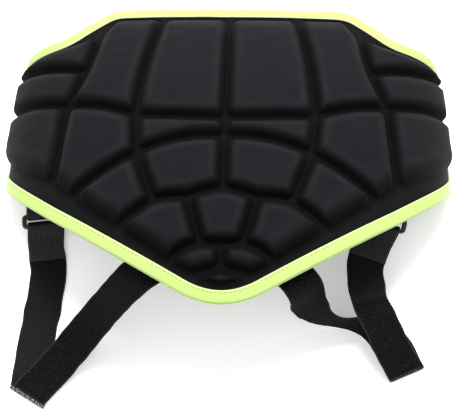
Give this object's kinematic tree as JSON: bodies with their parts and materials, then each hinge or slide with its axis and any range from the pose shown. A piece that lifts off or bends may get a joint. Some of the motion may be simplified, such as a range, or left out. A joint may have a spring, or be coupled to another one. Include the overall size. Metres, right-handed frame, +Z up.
{
  "type": "hip pad",
  "caption": "Moulded foam hip and seat pad with raised cells, a folded edge tape and a webbing loop with a plastic buckle for each thigh.",
  "frame": {"origin": "middle of the whole pad's box at the height of the surface it lies on", "axes": "+Z up out of the dome's crown, +Y towards the waist, -Y towards the lower tip, +X across the hips"},
  "size_m": [0.3748, 0.3388, 0.1135],
  "materials": {
    "pad_fabric": "black knitted fabric over moulded foam",
    "edge_tape": "lime woven edge tape, stitched",
    "webbing": "black elastic webbing, partly with loop pile",
    "buckle_plastic": "black moulded plastic"
  },
  "bodies": {
    "root": {"moulded_pad": "pad_fabric", "edge_binding": "edge_tape", "thigh_strap_left": "webbing", "thigh_strap_right": "webbing", "buckle_tab_left": "webbing", "buckle_tab_right": "webbing", "strap_buckle_left": "buckle_plastic", "strap_buckle_right": "buckle_plastic"}
  },
  "joints": []
}
